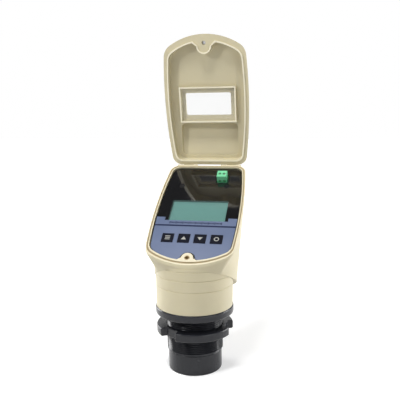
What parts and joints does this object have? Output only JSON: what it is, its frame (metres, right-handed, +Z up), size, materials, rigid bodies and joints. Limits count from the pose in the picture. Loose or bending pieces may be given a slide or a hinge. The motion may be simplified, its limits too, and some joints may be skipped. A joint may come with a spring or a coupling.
{
  "type": "non-contact level sensor",
  "caption": "Ultrasonic level transmitter with a threaded process connection, a lock nut, and a sloped head with display and keys under a hinged window lid.",
  "frame": {"origin": "centre of the transducer face at the bottom of the instrument", "axes": "+Z up along the thread's axis, -Y towards the nose of the sloped face, +X to the reader's right"},
  "size_m": [0.0974, 0.1417, 0.3559],
  "materials": {
    "beige_housing": "fine moulded texture",
    "black_process": "satin",
    "gloss_panel": "polished",
    "display_cover": "clear",
    "lid_pane": "clear",
    "keypad_film": "satin film",
    "black_key": "satin",
    "switch_black": "moulded",
    "lcd": "reflective",
    "backlight_white": "diffuse",
    "circuit_board": "solder mask",
    "steel_screw": "plated",
    "black_screw": "blackened",
    "terminal_green": "moulded",
    "clamp_metal": "plain",
    "transformer_core": "ferrite",
    "capacitor_sleeve": "sleeve",
    "connector_white": "moulded",
    "ribbon_grey": "jacket",
    "soft_seal": "elastomer",
    "black_gland": "satin",
    "matching_resin": "foam resin",
    "piezo_ceramic": "fired",
    "damping_rubber": "soft",
    "backing_resin": "cast"
  },
  "bodies": {
    "body": {"housing": "beige_housing", "process_body": "black_process", "transducer_cup": "black_process", "front_panel": "gloss_panel", "display_window": "display_cover", "keypad_overlay": "keypad_film", "switch_cases": "switch_black", "lcd_glass": "lcd", "lcd_backlight": "backlight_white", "display_board": "circuit_board", "power_board": "circuit_board", "board_screws": "steel_screw", "flange_screws": "steel_screw", "terminal_screws": "steel_screw", "hinge_pins": "steel_screw", "panel_screws": "black_screw", "terminal_block": "terminal_green", "terminal_clamps": "clamp_metal", "screw_insert": "clamp_metal", "drive_transformer": "transformer_core", "capacitors": "capacitor_sleeve", "lead_connector": "connector_white", "ribbon_connectors": "connector_white", "ribbon_cable": "ribbon_grey", "housing_seal": "soft_seal", "lid_gasket": "soft_seal", "gland_gasket": "soft_seal", "gland_seal": "soft_seal", "gland_body": "black_gland", "gland_lock_nut": "black_gland", "matching_layer": "matching_resin", "piezo_disc": "piezo_ceramic", "damping_ring": "damping_rubber", "potting": "damping_rubber", "transducer_lead": "damping_rubber", "backing_disc": "backing_resin"},
    "lid": {"lid": "beige_housing", "lid_window": "lid_pane", "lid_screw_seal": "soft_seal"},
    "lid_screw": {"lid_screw": "steel_screw"},
    "lock_nut": {"lock_nut": "black_process"},
    "gland_dome_nut": {"gland_dome_nut": "black_gland"},
    "menu_key": {"menu_key": "black_key", "menu_plunger": "switch_black"},
    "up_key": {"up_key": "black_key", "up_plunger": "switch_black"},
    "down_key": {"down_key": "black_key", "down_plunger": "switch_black"},
    "enter_key": {"enter_key": "black_key", "enter_plunger": "switch_black"}
  },
  "joints": [
    {"name": "lid_hinge", "type": "hinge", "parent": "body", "child": "lid", "pos_m": [0, 0.08403, 0.20756], "axis": [1, 0, 0], "range_deg": [-16, 114]},
    {"name": "lid_screw_turn", "type": "hinge", "parent": "lid", "child": "lid_screw", "pos_m": [0, 0.06698, 0.3484], "axis": [0, 0.9781, 0.2079], "continuous": true},
    {"name": "lock_nut_travel", "type": "slide", "parent": "body", "child": "lock_nut", "axis": [0, 0, 1], "range_m": [-0.0196, 0.0115]},
    {"name": "gland_dome_turn", "type": "hinge", "parent": "body", "child": "gland_dome_nut", "pos_m": [0, 0.07997, 0.14857], "axis": [0, 0.9599, -0.2803], "continuous": true},
    {"name": "menu_press", "type": "slide", "parent": "body", "child": "menu_key", "axis": [0, 0.5878, -0.809], "range_m": [0, 0.0003], "stiffness_N_per_m": 2000},
    {"name": "up_press", "type": "slide", "parent": "body", "child": "up_key", "axis": [0, 0.5878, -0.809], "range_m": [0, 0.0003], "stiffness_N_per_m": 2000},
    {"name": "down_press", "type": "slide", "parent": "body", "child": "down_key", "axis": [0, 0.5878, -0.809], "range_m": [0, 0.0003], "stiffness_N_per_m": 2000},
    {"name": "enter_press", "type": "slide", "parent": "body", "child": "enter_key", "axis": [0, 0.5878, -0.809], "range_m": [0, 0.0003], "stiffness_N_per_m": 2000}
  ]
}
